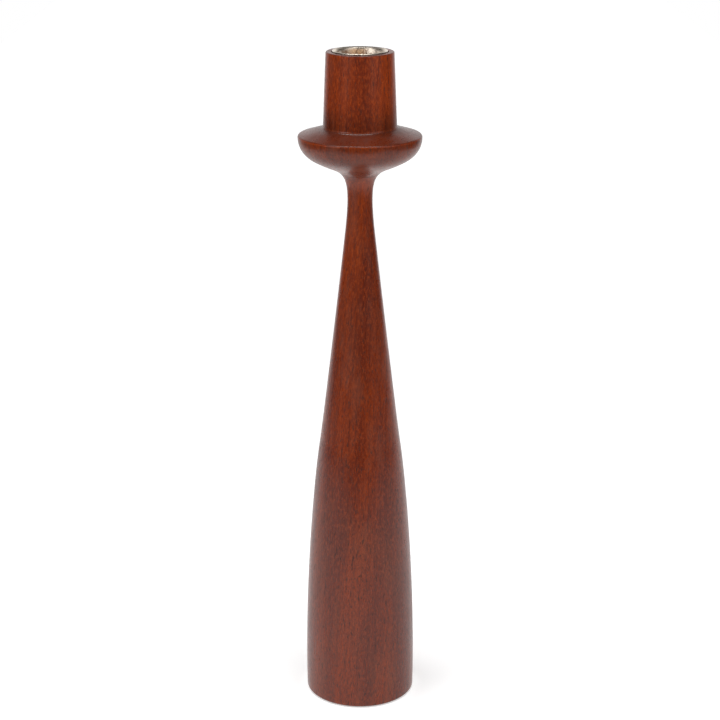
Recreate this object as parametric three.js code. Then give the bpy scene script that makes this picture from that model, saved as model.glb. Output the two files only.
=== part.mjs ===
// A tall turned candlestick in teak, with a lift-out metal candle cup and a felt pad under its foot.
// Every piece is a solid of revolution about the vertical axis: +Z is up, millimetres,
// and the origin is on the table at the middle of the foot.
import * as THREE from "three";

// Driving dimensions.
const FOOT_RADIUS = 26.6;
const PAN_RADIUS = 28.8;
const SOCKET_FOOT_RADIUS = 17.1;
const SOCKET_TOP_RADIUS = 15.7;
const WOOD_TOP = 320;
const PAN_RIM_HEIGHT = 280.8; // where the bowl's side ends
const PAN_EDGE_HEIGHT = 281.6; // where its side and top would meet if they weren't rounded
const SOCKET_FOOT_HEIGHT = 285;
const CANDLE_RADIUS = 11;
const CANDLE_DEPTH = 25;

// The foot and its felt pad.
const FELT_PROUD = 0.4;
const FELT_RADIUS = 23;
const RECESS_RADIUS = 23.3;
const RECESS_DEPTH = 1.2;
const FELT_GAP = 0.05;
const FOOT_ROUND = 1;

// The joint between column and head: a round tenon turned on the column, glued into the head.
const TENON_RADIUS = 5;
const TENON_LENGTH = 20;
const TENON_CHAMFER = 0.8;
const TENON_SIDE_GAP = 0.1;
const MORTISE_END_GAP = 1;
const GLUE_LINE = 0.05;
const SEAM_ALONG_NECK = 0.58; // how far along the neck's curve the seam lies, from 0 to 1

// The head's roundings, and the bore that takes the cup.
const PAN_EDGE_ROUND = 1;
const SOCKET_FOOT_ROUND = 1.6;
const SOCKET_TOP_ROUND = 0.6;
const BORE_RADIUS = 12.1;
const BORE_DEPTH = 25.6;
const LIP_SEAT_RADIUS = 13.2;
const LIP_SEAT_DEPTH = 0.8;

// The pressed cup: a thin tapered wall and a rolled lip that stands a little above the wood.
const CUP_WALL = 0.6;
const CUP_MOUTH_RADIUS = CANDLE_RADIUS + 0.2;
const CUP_FLOOR_RADIUS = 10.6;
const CUP_FLOOR_ROUND = 1.6;
const LIP_RADIUS = 12.8;
const LIP_PROUD = 0.5;
const LIP_GAP = 0.05;

// Facets round the axis, and steps along each kind of stretch.
const AROUND = 64;
const LONG_STEPS = 8;
const SHORT_STEPS = 6;
const ROUND_STEPS = 3;

// A point of an outline: its distance from the axis and its height.
function at(radius, height) {
  return new THREE.Vector2(radius, height);
}

// Points along a cubic curve, between two shares of its length parameter.
function along(curve, steps, from = 0, to = 1) {
  const share = (i) => from + ((to - from) * i) / steps;
  return Array.from({ length: steps + 1 }, (_, i) => curve.getPoint(share(i)));
}

// The arc that rounds a corner off, between the point before it and the point after it.
function rounded(before, corner, after, radius, steps = ROUND_STEPS) {
  const back = before.clone().sub(corner).normalize();
  const ahead = after.clone().sub(corner).normalize();
  const half = Math.acos(back.dot(ahead)) / 2;
  const start = corner.clone().addScaledVector(back, radius / Math.tan(half));
  const end = corner.clone().addScaledVector(ahead, radius / Math.tan(half));
  const middle = back.clone().add(ahead).normalize();
  const centre = corner.clone().addScaledVector(middle, radius / Math.sin(half));
  const turn = (Math.PI - 2 * half) * Math.sign(end.clone().sub(centre).cross(start.clone().sub(centre)));
  const spin = (i) => start.clone().rotateAround(centre, (-turn * i) / steps);
  return Array.from({ length: steps + 1 }, (_, i) => spin(i));
}

// Turns an outline, listed from the axis outwards and back to the axis, into a closed solid.
function turned(name, outline, material) {
  const geometry = new THREE.LatheGeometry(outline, AROUND);
  geometry.rotateX(Math.PI / 2);
  const mesh = new THREE.Mesh(geometry, material);
  mesh.name = name;
  return mesh;
}

// The column's skin: a full, nearly straight foot that draws in to a long straight taper.
const belly = new THREE.CubicBezierCurve(
  at(FOOT_RADIUS, FELT_PROUD + FOOT_ROUND),
  at(27.6, 59),
  at(21.95, 115),
  at(19.7, 130),
);
const taper = new THREE.CubicBezierCurve(
  at(19.7, 130),
  at(17.45, 145),
  at(8.7, 220.1),
  at(7.05, 235),
);
// The neck narrows to its thinnest near 251 mm and flares out under the pan.
const neck = new THREE.CubicBezierCurve(
  at(7.05, 235),
  at(3.44, 267.4),
  at(8.1, 262.9),
  at(20.7, 269.45),
);
// The bowl-shaped underside of the pan, which ends upright at its widest.
const bowl = new THREE.CubicBezierCurve(
  at(20.7, 269.45),
  at(22.3, 270.3),
  at(PAN_RADIUS, 273.2),
  at(PAN_RADIUS, PAN_RIM_HEIGHT),
);

const seam = neck.getPoint(SEAM_ALONG_NECK);
const boreFloor = WOOD_TOP - BORE_DEPTH;
const lipSeat = WOOD_TOP - LIP_SEAT_DEPTH;

const columnTeak = new THREE.MeshStandardMaterial({ color: 0x7a4a38, roughness: 0.42, metalness: 0 });
const headTeak = new THREE.MeshStandardMaterial({ color: 0x733423, roughness: 0.4, metalness: 0 });
const nickel = new THREE.MeshStandardMaterial({ color: 0xc9b59e, roughness: 0.28, metalness: 1 });
const felt = new THREE.MeshStandardMaterial({ color: 0x1f3a2a, roughness: 0.95, metalness: 0 });

// The column: recessed foot, tapered body and half of the neck, with the tenon on its shoulder.
function column() {
  const recessTop = FELT_PROUD + RECESS_DEPTH;
  const tenonTop = seam.y + TENON_LENGTH;
  const footCorner = at(FOOT_RADIUS, FELT_PROUD);
  return turned(
    "column",
    [
      at(0, recessTop),
      at(RECESS_RADIUS, recessTop),
      at(RECESS_RADIUS, FELT_PROUD),
      ...rounded(at(RECESS_RADIUS, FELT_PROUD), footCorner, at(FOOT_RADIUS, PAN_RIM_HEIGHT), FOOT_ROUND),
      ...along(belly, LONG_STEPS).slice(1),
      ...along(taper, LONG_STEPS).slice(1),
      ...along(neck, LONG_STEPS, 0, SEAM_ALONG_NECK).slice(1),
      at(TENON_RADIUS, seam.y),
      at(TENON_RADIUS, tenonTop - TENON_CHAMFER),
      at(TENON_RADIUS - TENON_CHAMFER, tenonTop),
      at(0, tenonTop),
    ],
    columnTeak,
  );
}

// The head: drip pan and candle socket in one, with the mortise below and the cup's bore above.
function head() {
  const mortiseTop = seam.y + TENON_LENGTH + MORTISE_END_GAP;
  const mortiseRadius = TENON_RADIUS + TENON_SIDE_GAP;
  const under = seam.y + GLUE_LINE;
  const socketFoot = at(SOCKET_FOOT_RADIUS, SOCKET_FOOT_HEIGHT);
  const panRim = at(PAN_RADIUS, PAN_RIM_HEIGHT);
  const panCorner = at(PAN_RADIUS, PAN_EDGE_HEIGHT);
  const topCorner = at(SOCKET_TOP_RADIUS, WOOD_TOP);
  return turned(
    "head",
    [
      at(0, mortiseTop),
      at(mortiseRadius, mortiseTop),
      at(mortiseRadius, under),
      at(seam.x, under),
      ...along(neck, SHORT_STEPS, SEAM_ALONG_NECK, 1).slice(1),
      ...along(bowl, LONG_STEPS).slice(1),
      ...rounded(panRim, panCorner, socketFoot, PAN_EDGE_ROUND),
      ...rounded(panCorner, socketFoot, topCorner, SOCKET_FOOT_ROUND),
      ...rounded(socketFoot, topCorner, at(LIP_SEAT_RADIUS, WOOD_TOP), SOCKET_TOP_ROUND),
      at(LIP_SEAT_RADIUS, WOOD_TOP),
      at(LIP_SEAT_RADIUS, lipSeat),
      at(BORE_RADIUS, lipSeat),
      at(BORE_RADIUS, boreFloor),
      at(0, boreFloor),
    ],
    headTeak,
  );
}

// The candle cup: it drops into the head's bore and hangs there by its lip.
function candleCup() {
  const lipTop = WOOD_TOP + LIP_PROUD;
  const lipUnder = lipSeat + LIP_GAP;
  const lipRound = (lipTop - lipUnder) / 2;
  const floorTop = lipTop - CANDLE_DEPTH;
  const floorUnder = floorTop - CUP_WALL;
  const neckRadius = CUP_MOUTH_RADIUS + CUP_WALL;
  const outerCorner = at(CUP_FLOOR_RADIUS + CUP_WALL, floorUnder);
  const innerCorner = at(CUP_FLOOR_RADIUS, floorTop);
  const lipCorners = [at(LIP_RADIUS, lipUnder), at(LIP_RADIUS, lipTop), at(CUP_MOUTH_RADIUS, lipTop)];
  return turned(
    "candle_cup",
    [
      at(0, floorUnder),
      ...rounded(at(0, floorUnder), outerCorner, at(neckRadius, lipUnder), CUP_FLOOR_ROUND + CUP_WALL),
      at(neckRadius, lipUnder),
      ...rounded(at(neckRadius, lipUnder), lipCorners[0], lipCorners[1], lipRound * 0.5),
      ...rounded(lipCorners[0], lipCorners[1], lipCorners[2], lipRound * 0.9),
      ...rounded(lipCorners[1], lipCorners[2], innerCorner, lipRound * 0.9),
      ...rounded(lipCorners[2], innerCorner, at(0, floorTop), CUP_FLOOR_ROUND),
      at(0, floorTop),
    ],
    nickel,
  );
}

// The felt pad: a disc glued in the foot's recess, a little proud of the wood.
function feltPad() {
  const top = FELT_PROUD + RECESS_DEPTH - FELT_GAP;
  return turned("felt_pad", [at(0, 0), at(FELT_RADIUS, 0), at(FELT_RADIUS, top), at(0, top)], felt);
}

const candlestick = new THREE.Group();
candlestick.name = "candlestick";
candlestick.add(column(), head(), candleCup(), feltPad());

export default candlestick;
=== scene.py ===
import math

import bmesh
import bpy
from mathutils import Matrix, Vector


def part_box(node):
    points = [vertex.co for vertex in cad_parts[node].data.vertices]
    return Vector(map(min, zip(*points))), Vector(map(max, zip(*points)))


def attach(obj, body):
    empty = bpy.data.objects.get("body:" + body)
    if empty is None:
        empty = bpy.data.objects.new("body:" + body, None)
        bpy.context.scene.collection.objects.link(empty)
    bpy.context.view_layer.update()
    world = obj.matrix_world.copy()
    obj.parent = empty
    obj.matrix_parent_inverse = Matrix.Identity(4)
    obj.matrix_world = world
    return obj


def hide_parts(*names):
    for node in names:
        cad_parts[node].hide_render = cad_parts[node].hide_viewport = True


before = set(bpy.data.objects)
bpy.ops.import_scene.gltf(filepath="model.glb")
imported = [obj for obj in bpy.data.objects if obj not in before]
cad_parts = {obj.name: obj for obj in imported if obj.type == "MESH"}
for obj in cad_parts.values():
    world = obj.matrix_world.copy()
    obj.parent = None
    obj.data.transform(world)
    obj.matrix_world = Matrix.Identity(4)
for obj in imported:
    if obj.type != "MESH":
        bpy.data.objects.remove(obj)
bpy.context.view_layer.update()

MM = 0.001

# ---------------------------------------------------------------- the frame's places
column_low, column_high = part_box("column")
head_low, head_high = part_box("head")
cup_low, cup_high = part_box("candle_cup")
felt_low, felt_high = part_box("felt_pad")

HEIGHT = head_high.z
WOOD_FOOT = column_low.z / MM
TENON_TOP = column_high.z / MM
SEAM_HEIGHT = head_low.z / MM
WOOD_TOP = head_high.z / MM
PAN_R = head_high.x / MM
LIP_TOP = cup_high.z / MM
LIP_R = cup_high.x / MM
CUP_UNDER = cup_low.z / MM

# ---------------------------------------------------------------- sizes in millimetres
FOOT_R = 26.6
FOOT_ROUND = 1.0
RECESS_R = 23.3
RECESS_DEPTH = 1.2
RECESS_ROUND = 0.15
TENON_R = 5.0
TENON_CHAMFER = 0.8
MORTISE_R = 5.1
MORTISE_TOP = TENON_TOP + 1.0
PAN_RIM_HEIGHT = 280.8
PAN_EDGE_HEIGHT = 281.6
PAN_EDGE_ROUND = 1.0
SOCKET_FOOT_R = 17.1
SOCKET_FOOT_HEIGHT = 285
SOCKET_FOOT_ROUND = 1.6
SOCKET_TOP_R = 15.7
SOCKET_TOP_ROUND = 0.6
LIP_SEAT_R = 13.2
LIP_SEAT_HEIGHT = WOOD_TOP - 0.8
BORE_R = 12.1
BORE_FLOOR = WOOD_TOP - 25.6
CUP_WALL = 0.6
CUP_FLOOR_R = 10.6
CUP_FLOOR_ROUND = 1.6
CUP_NECK_R = 11.8
LIP_UNDER = LIP_TOP - 1.25
LIP_OUTER_ROUND = 0.40
LIP_INNER_R = 11.43
LIP_INNER_ROUND = 1.2
THROAT_R = 10.62
THROAT_DEPTH = 2.8
THROAT_ROUND = 3.0
FELT_ROUND = 0.3
BROKEN_EDGE = 0.12

# Facets round the axis, and the bend in degrees from which an edge stays sharp.
AROUND = 256
SHARP = 28


# ---------------------------------------------------------------- outlines
def at(radius, height):
    """A point of an outline: its distance from the axis and its height."""
    return Vector((radius, height))


# The column's skin, in curves that run on into each other. The neck's goes on into the head.
BELLY = [at(FOOT_R, WOOD_FOOT + FOOT_ROUND), at(27.6, 59), at(21.95, 115), at(19.7, 130)]
TAPER = [at(19.7, 130), at(17.45, 145), at(8.7, 220.1), at(7.05, 235)]
NECK = [at(7.05, 235), at(3.44, 267.4), at(8.1, 262.9), at(20.7, 269.45)]
BOWL = [at(20.7, 269.45), at(22.3, 270.3), at(PAN_R, 273.2), at(PAN_R, PAN_RIM_HEIGHT)]
SEAM_SHARE = 0.58


def cubic(a, b, c, d, steps, start=0.0, end=1.0):
    """Points along a cubic curve between two shares of its length parameter."""
    found = []
    for i in range(steps + 1):
        t = start + (end - start) * i / steps
        s = 1 - t
        found.append(a * s**3 + b * (3 * s * s * t) + c * (3 * s * t * t) + d * t**3)
    return found


SEAM = cubic(*NECK, 1, SEAM_SHARE, SEAM_SHARE)[0]


def rounded(before, corner, after, radius, steps=8):
    """The arc that rounds a corner off, between the point before it and the point after it."""
    back = (before - corner).normalized()
    ahead = (after - corner).normalized()
    half = math.acos(back.dot(ahead)) / 2
    start = corner + back * (radius / math.tan(half))
    centre = corner + (back + ahead).normalized() * (radius / math.sin(half))
    end = corner + ahead * (radius / math.tan(half))
    first = math.atan2(start.y - centre.y, start.x - centre.x)
    last = math.atan2(end.y - centre.y, end.x - centre.x)
    turn = (last - first + math.pi) % (2 * math.pi) - math.pi
    angles = [first + turn * i / steps for i in range(steps + 1)]
    return [centre + at(math.cos(a), math.sin(a)) * radius for a in angles]


def turned(name, outline):
    """A closed solid of revolution. The outline runs from the axis outwards and back to the axis."""
    points = [outline[0]]
    for p in outline[1:]:
        if (p - points[-1]).length > 1e-5:
            points.append(p)
    bm = bmesh.new()
    rings = []
    for p in points:
        if p.x < 1e-6:
            rings.append([bm.verts.new((0, 0, p.y * MM))])
            continue
        ring = []
        for i in range(AROUND):
            a = 2 * math.pi * i / AROUND
            ring.append(bm.verts.new((p.x * math.cos(a) * MM, p.x * math.sin(a) * MM, p.y * MM)))
        rings.append(ring)
    for low, high in zip(rings, rings[1:]):
        for i in range(AROUND):
            j = (i + 1) % AROUND
            corners = [low[i % len(low)], low[j % len(low)], high[j % len(high)], high[i % len(high)]]
            bm.faces.new(list(dict.fromkeys(corners)))
    bm.normal_update()
    for face in bm.faces:
        face.smooth = True
    for edge in bm.edges:
        edge.smooth = edge.calc_face_angle(0) < math.radians(SHARP)
    mesh = bpy.data.meshes.new(name)
    bm.to_mesh(mesh)
    bm.free()
    piece = bpy.data.objects.new(name, mesh)
    bpy.context.scene.collection.objects.link(piece)
    return piece


def column_outline():
    """A recessed foot, the tapered body and half of the neck, with the tenon on its shoulder."""
    recess_top = at(RECESS_R, WOOD_FOOT + RECESS_DEPTH)
    inner = at(RECESS_R, WOOD_FOOT)
    corner = at(FOOT_R, WOOD_FOOT)
    return [
        at(0, recess_top.y),
        recess_top,
        *rounded(recess_top, inner, corner, RECESS_ROUND, 4),
        *rounded(inner, corner, at(FOOT_R, WOOD_TOP), FOOT_ROUND, 10),
        *cubic(*BELLY, 60),
        *cubic(*TAPER, 50),
        *cubic(*NECK, 44, 0.0, SEAM_SHARE),
        at(TENON_R, SEAM.y),
        at(TENON_R, TENON_TOP - TENON_CHAMFER),
        at(TENON_R - TENON_CHAMFER, TENON_TOP),
        at(0, TENON_TOP),
    ]


def head_outline():
    """The drip pan and the candle socket in one, with the mortise below and the cup's bore above."""
    rim = at(PAN_R, PAN_RIM_HEIGHT)
    pan_edge = at(PAN_R, PAN_EDGE_HEIGHT)
    socket_foot = at(SOCKET_FOOT_R, SOCKET_FOOT_HEIGHT)
    top_outer = at(SOCKET_TOP_R, WOOD_TOP)
    top_inner = at(LIP_SEAT_R, WOOD_TOP)
    lip_seat = at(LIP_SEAT_R, LIP_SEAT_HEIGHT)
    return [
        at(0, MORTISE_TOP),
        at(MORTISE_R, MORTISE_TOP),
        at(MORTISE_R, SEAM_HEIGHT),
        at(SEAM.x, SEAM_HEIGHT),
        *cubic(*NECK, 30, SEAM_SHARE, 1.0)[1:],
        *cubic(*BOWL, 40),
        *rounded(rim, pan_edge, socket_foot, PAN_EDGE_ROUND),
        *rounded(pan_edge, socket_foot, top_outer, SOCKET_FOOT_ROUND),
        *rounded(socket_foot, top_outer, top_inner, SOCKET_TOP_ROUND),
        *rounded(top_outer, top_inner, lip_seat, BROKEN_EDGE, 4),
        lip_seat,
        at(BORE_R, LIP_SEAT_HEIGHT),
        at(BORE_R, BORE_FLOOR),
        at(0, BORE_FLOOR),
    ]


def cup_outline():
    """A thin-walled cup that hangs by its rolled lip. Below the lip the wall draws in to a throat."""
    under = at(0, CUP_UNDER)
    floor = at(0, CUP_UNDER + CUP_WALL)
    outer_corner = at(CUP_FLOOR_R + CUP_WALL, CUP_UNDER)
    inner_corner = at(CUP_FLOOR_R, floor.y)
    neck = at(CUP_NECK_R, LIP_UNDER)
    lip_low = at(LIP_R, LIP_UNDER)
    lip_high = at(LIP_R, LIP_TOP)
    lip_inner = at(LIP_INNER_R, LIP_TOP)
    throat = at(THROAT_R, LIP_TOP - THROAT_DEPTH)
    return [
        under,
        *rounded(under, outer_corner, neck, CUP_FLOOR_ROUND + CUP_WALL),
        *rounded(outer_corner, neck, lip_low, BROKEN_EDGE, 4),
        *rounded(neck, lip_low, lip_high, BROKEN_EDGE, 4),
        *rounded(lip_low, lip_high, lip_inner, LIP_OUTER_ROUND, 10),
        *rounded(lip_high, lip_inner, throat, LIP_INNER_ROUND, 16),
        *rounded(lip_inner, throat, inner_corner, THROAT_ROUND, 8),
        *rounded(throat, inner_corner, floor, CUP_FLOOR_ROUND, 10),
        floor,
    ]


def felt_outline():
    """A plain disc, its lower edge a little rounded."""
    low = at(0, felt_low.z / MM)
    high = at(0, felt_high.z / MM)
    rim_low = at(felt_high.x / MM, low.y)
    rim_high = at(felt_high.x / MM, high.y)
    return [low, *rounded(low, rim_low, rim_high, FELT_ROUND, 5), rim_high, high]


# ---------------------------------------------------------------- materials
class Nodes:
    """A small helper that builds the node tree of a material or a world, a node a call."""

    def __init__(self, owner):
        owner.use_nodes = True
        self.tree = owner.node_tree
        self.tree.nodes.clear()

    def set(self, socket, value):
        """Links a socket to the one that value is, or sets it to the number or colour that value is."""
        if isinstance(value, bpy.types.NodeSocket):
            self.tree.links.new(value, socket)
        else:
            socket.default_value = value

    def add(self, kind, inputs=None, **settings):
        node = self.tree.nodes.new(kind)
        for key, value in settings.items():
            setattr(node, key, value)
        for key, value in (inputs or {}).items():
            self.set(node.inputs[key], value)
        return node

    def stretch(self, vector, scale, offset=(0, 0, 0)):
        inputs = {"Vector": vector, "Scale": scale, "Location": offset}
        return self.add("ShaderNodeMapping", inputs).outputs[0]

    def place(self, scale=(1, 1, 1), offset=(0, 0, 0)):
        """Where a point is on the piece, stretched along each axis."""
        return self.stretch(self.add("ShaderNodeTexCoord").outputs["Object"], scale, offset)

    def normal(self):
        return self.add("ShaderNodeTexCoord").outputs["Normal"]

    def split(self, vector):
        return self.add("ShaderNodeSeparateXYZ", {0: vector}).outputs

    def vector(self, operation, a, b=(0, 0, 0), output="Vector"):
        return self.add("ShaderNodeVectorMath", {0: a, 1: b}, operation=operation).outputs[output]

    def noise(self, vector, detail=2.0, roughness=0.5, distortion=0.0):
        settings = {"Vector": vector, "Scale": 1.0, "Detail": detail, "Roughness": roughness}
        node = self.add("ShaderNodeTexNoise", {**settings, "Distortion": distortion})
        return node.outputs["Fac"]

    def math(self, operation, a, b=0.0):
        return self.add("ShaderNodeMath", {0: a, 1: b}, operation=operation).outputs[0]

    def times(self, a, b):
        return self.math("MULTIPLY", a, b)

    def plus(self, a, b):
        return self.math("ADD", a, b)

    def minus(self, a, b):
        return self.math("SUBTRACT", a, b)

    def spread(self, value, low, high, to_low=0.0, to_high=1.0):
        """Maps low..high smoothly to to_low..to_high."""
        settings = {"Value": value, "From Min": low, "From Max": high, "To Min": to_low, "To Max": to_high}
        return self.add("ShaderNodeMapRange", settings, interpolation_type="SMOOTHSTEP").outputs[0]

    def band(self, value, rise, fall, most=1.0):
        """Goes up to most over rise and back to 0 over fall."""
        return self.times(self.spread(value, *rise, 0.0, most), self.spread(value, *fall))

    def mix(self, share, a, b, blend="MIX"):
        """Blends the colour b into the colour a."""
        node = self.add("ShaderNodeMix", data_type="RGBA", blend_type=blend)
        for socket, value in ((node.inputs[0], share), (node.inputs[6], a), (node.inputs[7], b)):
            self.set(socket, (*value, 1.0) if isinstance(value, tuple) else value)
        return node.outputs[2]

    def bump(self, height, strength, distance_mm, **inputs):
        settings = {"Height": height, "Strength": strength, "Distance": distance_mm * MM}
        return self.add("ShaderNodeBump", {**settings, **inputs}).outputs[0]

    def choose(self, share, a, b):
        """Goes from the number a to the number b as share goes from 0 to 1."""
        return self.add("ShaderNodeMix", {0: share, 2: a, 3: b}, data_type="FLOAT").outputs[0]


class Shader(Nodes):
    """A material of its own, with one principled surface."""

    def __init__(self, name):
        self.material = bpy.data.materials.new(name)
        super().__init__(self.material)
        self.surface = self.add("ShaderNodeBsdfPrincipled")
        self.add("ShaderNodeOutputMaterial", {"Surface": self.surface.outputs[0]})

    def give(self, **sockets):
        """Sets or links the surface's own sockets, an underscore standing for a space."""
        for key, value in sockets.items():
            self.set(self.surface.inputs[key.replace("_", " ")], value)


# Teak's colours, as linear red, green and blue.
TEAK_PALE = (0.234, 0.0305, 0.0026)
TEAK_DEEP = (0.131, 0.0168, 0.0044)
LATE_WOOD = (0.080, 0.010, 0.004)
DARK_BLOTCH = (0.090, 0.008, 0.006)
DARK_FIBRE = (0.080, 0.011, 0.004)
LIGHT_FLECK = (0.340, 0.058, 0.010)
DARK_FLECK = (0.050, 0.006, 0.004)
PORE = (0.028, 0.007, 0.004)
SHORT_PORE = (0.060, 0.012, 0.006)
PAINTED_FOOT_SHADE = (0.085, 0.012, 0.004)
OIL_FILM_AND_SHEEN = (0.200, 0.086, 0.052)
END_GRAIN = (0.040, 0.008, 0.004)
# What parts of the wood are multiplied by, to paint light and shade on them.
PAINTED_HEAD_LIGHT = (1.36, 1.36, 1.20)
PAINTED_BOWL_SHADE = (0.65, 0.69, 0.88)
PAINTED_CORNER_SHADE = (0.58, 0.63, 0.74)
# Where the colour changes along its height, in metres: from where to where, for the wood's pores and for
# painted light and shade.
HEAD_LIGHT_PAINTED = (0.17, 0.25)
FOOT_SHADE_PAINTED = (0.14, 0.05)
PORES_DEEPEN = (0.20, 0.07)
SHORT_PORES_COME = (0.16, 0.05)
BOWL_STARTS = (0.268, 0.275)
BOWL_ENDS = (0.2815, 0.2805)
CORNER_STARTS = (0.2835, 0.2855)
CORNER_ENDS = (0.300, 0.287)
# The sizes of the growth rings, in metres.
RING_WIDTH = 0.0031
RING_WAVE = 0.015


def teak(name, pith, lean, shift):
    """Oiled teak with its grain along Z. The figure is solid, so round faces show lines and end faces arcs.

    pith is where the tree's centre stood in x and y, lean is the fibres' slope, and shift moves the noise.
    """
    s = Shader(name)
    x, y, z = s.split(s.place())
    leaning = {0: s.minus(x, s.times(z, lean)), 1: y, 2: z}
    grain = s.add("ShaderNodeCombineXYZ", leaning).outputs[0]

    def figure(scale, *settings):
        return s.noise(s.stretch(grain, scale, shift), *settings)

    # Growth rings, a little wavy, each with a broad late band and in places a thin dark line.
    from_pith = s.stretch(s.vector("SUBTRACT", grain, (*pith, 0)), (1, 1, 0))
    bend = s.times(s.minus(figure((26, 26, 8), 3.0), 0.5), RING_WAVE)
    radius = s.plus(s.vector("LENGTH", from_pith, output="Value"), bend)
    ring = s.math("FRACT", s.times(radius, 1 / RING_WIDTH))
    broken = s.spread(figure((190, 190, 6), 1.0), 0.46, 0.60)
    line = s.times(s.band(ring, (0.74, 0.90), (1.0, 0.92)), broken)
    late = s.plus(s.band(ring, (0.30, 0.92), (1.0, 0.92), 0.55), s.times(line, 1.5))
    # Broad bands, blotches, fibres, flecks and pores, all stretched along the grain.
    broad = figure((70, 70, 9), 3.0, 0.55)
    blotch = figure((230, 230, 95), 3.0, 0.6)
    fibre = figure((1100, 1100, 42), 3.0, 0.65)
    fleck = figure((1500, 1500, 520), 2.0, 0.65)
    pore = s.spread(figure((1700, 1700, 330), 1.0), 0.62, 0.70)
    dash = s.spread(figure((2200, 2200, 560), 0.0), 0.68, 0.78)
    pores = s.math("MAXIMUM", pore, s.times(dash, 0.6))
    short = s.spread(figure((1500, 1500, 700), 1.0, 0.6), 0.56, 0.66)
    colour = s.mix(s.spread(broad, 0.33, 0.67), TEAK_PALE, TEAK_DEEP)
    colour = s.mix(s.times(late, 0.34), colour, LATE_WOOD)
    colour = s.mix(s.spread(blotch, 0.42, 0.70, 0.0, 0.16), colour, DARK_BLOTCH)
    colour = s.mix(s.spread(fibre, 0.42, 0.64, 0.0, 0.42), colour, DARK_FIBRE)
    colour = s.mix(s.spread(fleck, 0.48, 0.64, 0.0, 0.38), colour, LIGHT_FLECK)
    colour = s.mix(s.spread(fleck, 0.46, 0.32, 0.0, 0.24), colour, DARK_FLECK)
    colour = s.mix(s.times(pores, s.spread(z, *PORES_DEEPEN, 0.55, 0.90)), colour, PORE)
    colour = s.mix(s.times(short, s.spread(z, *SHORT_PORES_COME, 0.0, 0.50)), colour, SHORT_PORE)
    # Painted light and shade: the wood is painted brighter towards the head and darker towards the foot.
    colour = s.mix(s.spread(z, *HEAD_LIGHT_PAINTED), colour, PAINTED_HEAD_LIGHT, "MULTIPLY")
    colour = s.mix(s.spread(z, *FOOT_SHADE_PAINTED, 0.0, 0.20), colour, PAINTED_FOOT_SHADE)
    # Painted shade under the pan's rim: the bowl of the pan is darkened.
    bowl_shade = s.band(z, BOWL_STARTS, BOWL_ENDS)
    colour = s.mix(bowl_shade, colour, PAINTED_BOWL_SHADE, "MULTIPLY")
    # Painted shade in the corner at the foot of the socket, darkest at its sides.
    corner = s.band(z, CORNER_STARTS, CORNER_ENDS)
    shaded_sides = s.spread(s.math("ABSOLUTE", x), 0.005, 0.014, 0.55, 1.0)
    colour = s.mix(s.times(corner, shaded_sides), colour, PAINTED_CORNER_SHADE, "MULTIPLY")
    # Old oil has dried to a thin, pale film in places, and its pale patches are also painted sheen.
    film_and_sheen = s.noise(s.stretch(grain, (120, 120, 26), tuple(3 - v for v in shift)), 4.0, 0.65)
    colour = s.mix(s.spread(film_and_sheen, 0.45, 0.72, 0.0, 0.16), colour, OIL_FILM_AND_SHEEN)
    # End grain drinks more oil, so faces across the fibres are darker, and most where they look up.
    facing = s.split(s.normal())[2]
    upward = s.spread(facing, 0.18, 0.82, 0.0, 0.95)
    downward = s.spread(facing, -0.25, -0.90, 0.0, 0.65)
    colour = s.mix(s.math("MAXIMUM", upward, downward), colour, s.mix(0.80, colour, END_GRAIN))
    rough = s.plus(s.times(fibre, 0.12), 0.22)
    rough = s.plus(rough, s.times(pores, 0.15))
    rough = s.plus(rough, s.spread(film_and_sheen, 0.45, 0.72, 0.0, 0.10))
    height = s.plus(s.minus(s.times(fleck, 0.35), pores), s.times(fibre, 0.5))
    s.give(Base_Color=colour, Roughness=rough, Normal=s.bump(height, 0.6, 0.03), IOR=1.42)
    return s.material


# The cup's colours.
LIP_NICKEL = (0.90, 0.79, 0.66)
TARNISH_WITH_PAINTED_SHADE = (0.42, 0.28, 0.20)
TARNISH_MIDDLE = (0.86, 0.56, 0.33)
TARNISH_WITH_PAINTED_GLINT = (0.92, 0.80, 0.68)
WAX = (0.92, 0.86, 0.76)
BROWN_SPOT = (0.22, 0.10, 0.045)
BARE_BRASS = (0.62, 0.44, 0.24)
DULL_NICKEL = (0.40, 0.33, 0.26)
PAINTED_LIP_SHADE = (0.045, 0.035, 0.028)


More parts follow.
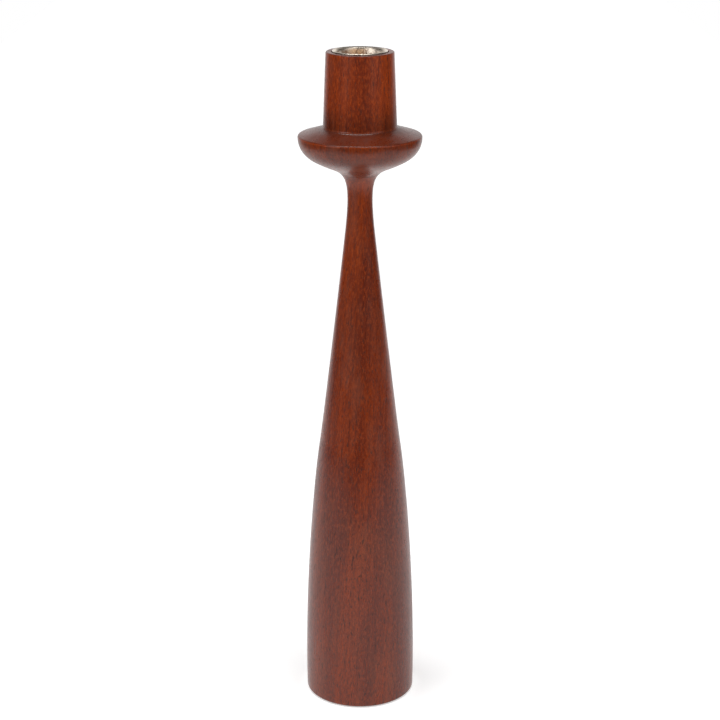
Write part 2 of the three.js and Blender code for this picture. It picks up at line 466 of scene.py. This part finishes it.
def nickel(name):
    """Nickel-plated brass: silvery on the lip, tarnished, waxy and dented inside, rubbed outside."""
    s = Shader(name)
    x, y, z = s.split(s.place())
    drop = s.minus(cup_high.z, z)
    from_axis = s.place((1, 1, 0))
    # The wall's two sides age in different ways, and the lip's top shows neither.
    facing = s.vector("DOT_PRODUCT", s.vector("NORMALIZE", from_axis), s.normal(), output="Value")
    below = s.spread(drop, 0.4 * MM, 1.8 * MM)
    inside = s.times(below, s.spread(facing, 0.5, 0.1))
    outside = s.times(below, s.spread(facing, 0.1, 0.5))
    # Inside: tarnish, wax and brown spots, with painted shade on the left and a painted glint on the right.
    blotch = s.noise(s.place((160, 160, 160), (1, 5, 2)), 4.0, 0.6)
    tarnish = s.times(s.spread(blotch, 0.30, 0.62, 0.45, 1.0), inside)
    wax = s.times(s.spread(s.noise(s.place((260, 260, 260)), 3.0, 0.6), 0.56, 0.66), inside)
    spots = s.times(s.spread(s.noise(s.place((620, 620, 620)), 2.0, 0.6), 0.52, 0.62), inside)
    tarnish_and_painted_light = s.mix(s.spread(x, -7 * MM, -2 * MM), TARNISH_WITH_PAINTED_SHADE, TARNISH_MIDDLE)
    tarnish_and_painted_light = s.mix(s.spread(x, 1 * MM, 4 * MM), tarnish_and_painted_light, TARNISH_WITH_PAINTED_GLINT)
    colour = s.mix(tarnish, LIP_NICKEL, tarnish_and_painted_light)
    colour = s.mix(s.times(wax, 0.6), colour, WAX)
    colour = s.mix(s.times(spots, 0.55), colour, BROWN_SPOT)
    # Outside, the plating is dull and rubbed through in streaks where the wood has scraped it.
    streaks = s.noise(s.place((480, 480, 36), (7, 2, 0)), 3.0, 0.6)
    rubbed = s.times(outside, s.spread(streaks, 0.44, 0.62, 0.0, 0.75))
    dull = s.times(outside, s.spread(blotch, 0.42, 0.66, 0.0, 0.55))
    colour = s.mix(rubbed, colour, BARE_BRASS)
    colour = s.mix(dull, colour, DULL_NICKEL)
    # Painted shade darkens the far side of the lip, and a painted shadow lies under the lip's edge.
    off_axis = s.vector("LENGTH", from_axis, output="Value")
    edge = s.times(s.spread(off_axis, 12.45 * MM, 12.7 * MM), s.spread(drop, 0.20 * MM, 0.38 * MM))
    far_lip_shade = s.times(s.spread(y, 4 * MM, 9 * MM), s.spread(drop, 0.58 * MM, 0.34 * MM))
    lip_shade = s.math("MAXIMUM", edge, s.times(far_lip_shade, 0.9))
    colour = s.mix(lip_shade, colour, PAINTED_LIP_SHADE)
    rough = s.plus(s.times(blotch, 0.18), 0.20)
    rough = s.plus(rough, s.times(below, 0.12))
    rough = s.plus(rough, s.times(lip_shade, 0.25))
    metal = s.minus(s.minus(1.0, s.times(tarnish, 0.35)), s.times(wax, 0.35))
    metal = s.times(metal, s.minus(1.0, s.times(lip_shade, 0.8)))
    # Fine turning lines, and dents inside.
    lines = s.noise(s.place((30, 30, 9000)), 2.0, 0.6)
    dents = s.times(s.noise(s.place((240, 240, 200), (4, 4, 4)), 1.0), inside)
    fine = s.bump(lines, 0.25, 0.01)
    s.give(Base_Color=colour, Roughness=rough, Metallic=metal, Normal=s.bump(dents, 0.7, 0.45, Normal=fine))
    return s.material


FELT_DARK = (0.008, 0.028, 0.016)
FELT_LIGHT = (0.022, 0.070, 0.040)
FELT_LINT = (0.10, 0.16, 0.12)


def felt(name):
    """Pressed wool felt: short matted fibres and a little lint."""
    s = Shader(name)
    mat = s.noise(s.place((1400, 1400, 1400)), 4.0, 0.7, 1.5)
    lint = s.spread(s.noise(s.place((900, 900, 900), (3, 3, 3)), 2.0, 0.5, 2.0), 0.66, 0.72)
    colour = s.mix(s.spread(mat, 0.3, 0.7), FELT_DARK, FELT_LIGHT)
    colour = s.mix(s.times(lint, 0.5), colour, FELT_LINT)
    s.give(Base_Color=colour, Roughness=0.95, Normal=s.bump(mat, 0.8, 0.12), Sheen_Weight=0.4)
    return s.material


# ---------------------------------------------------------------- the pieces
def dress(piece, material, body, node):
    """Gives a piece its material, and the body and the CAD node that it stands for."""
    piece.data.materials.append(material)
    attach(piece, body)
    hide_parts(node)


column = turned("turned_column", column_outline())
head = turned("turned_head", head_outline())
cup = turned("pressed_cup", cup_outline())
pad = turned("felt_disc", felt_outline())
dress(column, teak("column_teak", (0.17, 0.03), 0.065, (0, 0, 0)), "stand", "column")
dress(head, teak("head_teak", (0.12, -0.05), 0.01, (3, 7, 5)), "stand", "head")
dress(cup, nickel("nickelled_brass"), "cup", "candle_cup")
dress(pad, felt("felt"), "stand", "felt_pad")


# ---------------------------------------------------------------- stage
FLOOR_LEFT = -0.60
FLOOR_RIGHT = 0.60
FLOOR_FRONT = -0.45
FLOOR_BACK = 3.4
FLOOR_LEVEL = -0.05 * MM


def white_floor():
    """A white sheet that runs far back behind the object and a little way past it on the other sides.

    It glows a little, more towards its far end, so that it stays white, and right under the foot.
    """
    mesh = bpy.data.meshes.new("floor")
    front = [(FLOOR_LEFT, FLOOR_FRONT, FLOOR_LEVEL), (FLOOR_RIGHT, FLOOR_FRONT, FLOOR_LEVEL)]
    back = [(FLOOR_RIGHT, FLOOR_BACK, FLOOR_LEVEL), (FLOOR_LEFT, FLOOR_BACK, FLOOR_LEVEL)]
    mesh.from_pydata(front + back, [], [(0, 1, 2, 3)])
    floor = bpy.data.objects.new("floor", mesh)
    bpy.context.scene.collection.objects.link(floor)
    s = Shader("white_floor")
    s.give(Base_Color=(0.8, 0.8, 0.8, 1), Roughness=1.0, Specular_IOR_Level=0.0)
    far = s.spread(s.split(s.place())[1], 0.3, 1.5, 0.30, 0.46)
    near = s.spread(s.vector("LENGTH", s.place(), output="Value"), 0.033, 0.026, 0.0, 0.15)
    s.give(Emission_Color=(1, 1, 1, 1), Emission_Strength=s.plus(far, near))
    mesh.materials.append(s.material)


def lamp(name, kind, power, towards):
    """A light that shines from a direction: towards points from the lit place to the light."""
    data = bpy.data.lights.new(name, kind)
    data.energy = power
    light = bpy.data.objects.new(name, data)
    light.rotation_mode = "QUATERNION"
    light.rotation_quaternion = towards.to_track_quat("Z", "Y")
    bpy.context.scene.collection.objects.link(light)
    return light


def sun(name, azimuth, elevation, power, angle):
    """A far soft light. It lights the object and isn't mirrored in it."""
    a, e = math.radians(azimuth), math.radians(elevation)
    towards = Vector((math.sin(a) * math.cos(e), -math.cos(a) * math.cos(e), math.sin(e)))
    light = lamp(name, "SUN", power, towards)
    light.data.angle = math.radians(angle)
    light.visible_glossy = False


def soft_box(name, size, place, target, power):
    """A lamp with a wide and high face that shines on a target. The camera doesn't see it."""
    light = lamp(name, "AREA", power, Vector(place) - Vector(target))
    light.data.shape = "RECTANGLE"
    light.data.size, light.data.size_y = size
    light.location = place
    light.visible_camera = False


# How bright the room is: as soft light, as a mirrored back wall, and as mirrored elsewhere.
SKY = 0.34
BACK_WALL = 0.95
DARK = 0.016


def room():
    """White for the eye and soft for lighting. What gloss mirrors is a white back wall in a dark room."""
    world = bpy.data.worlds.new("studio")
    bpy.context.scene.world = world
    n = Nodes(world)
    _, back, up = n.split(n.add("ShaderNodeTexCoord").outputs["Generated"])
    wall = n.times(n.spread(back, 0.50, 0.95), n.spread(up, 0.58, 0.42))
    path = n.add("ShaderNodeLightPath").outputs
    strength = n.choose(path["Is Glossy Ray"], SKY, n.choose(wall, DARK, BACK_WALL))
    strength = n.choose(path["Is Camera Ray"], strength, 1.0)
    background = n.add("ShaderNodeBackground", {"Color": (1, 1, 1, 1), "Strength": strength})
    n.add("ShaderNodeOutputWorld", {"Surface": background.outputs[0]})


# The camera's distance and height, in heights of the wood, and its tilt down in degrees.
CAMERA_BACK = 2.594
CAMERA_UP = 1.387
CAMERA_TILT = 18.106
SENSOR = 36
LENS = 91.1


def camera():
    """Straight in front of the candlestick and above it, looking down a little."""
    data = bpy.data.cameras.new("camera")
    data.sensor_width = SENSOR
    data.lens = LENS
    eye = bpy.data.objects.new("camera", data)
    eye.location = (0, -CAMERA_BACK * HEIGHT, CAMERA_UP * HEIGHT)
    eye.rotation_euler = (math.radians(90 - CAMERA_TILT), 0, 0)
    bpy.context.scene.collection.objects.link(eye)
    bpy.context.scene.camera = eye


SOCKET = (0, 0, 0.28)
TOP = (0, 0, 0.30)

white_floor()
room()
sun("top_light", azimuth=-20, elevation=78, power=1.30, angle=60)
soft_box("overhead", size=(0.66, 0.18), place=(-0.02, -0.05, 0.95), target=TOP, power=2.9)
soft_box("left_box", size=(0.35, 0.45), place=(-0.50, -0.40, 0.62), target=SOCKET, power=1.15)
soft_box("right_box", size=(0.55, 0.65), place=(0.50, -0.40, 0.62), target=SOCKET, power=0.85)
camera()
bpy.context.scene.view_settings.view_transform = "Standard"
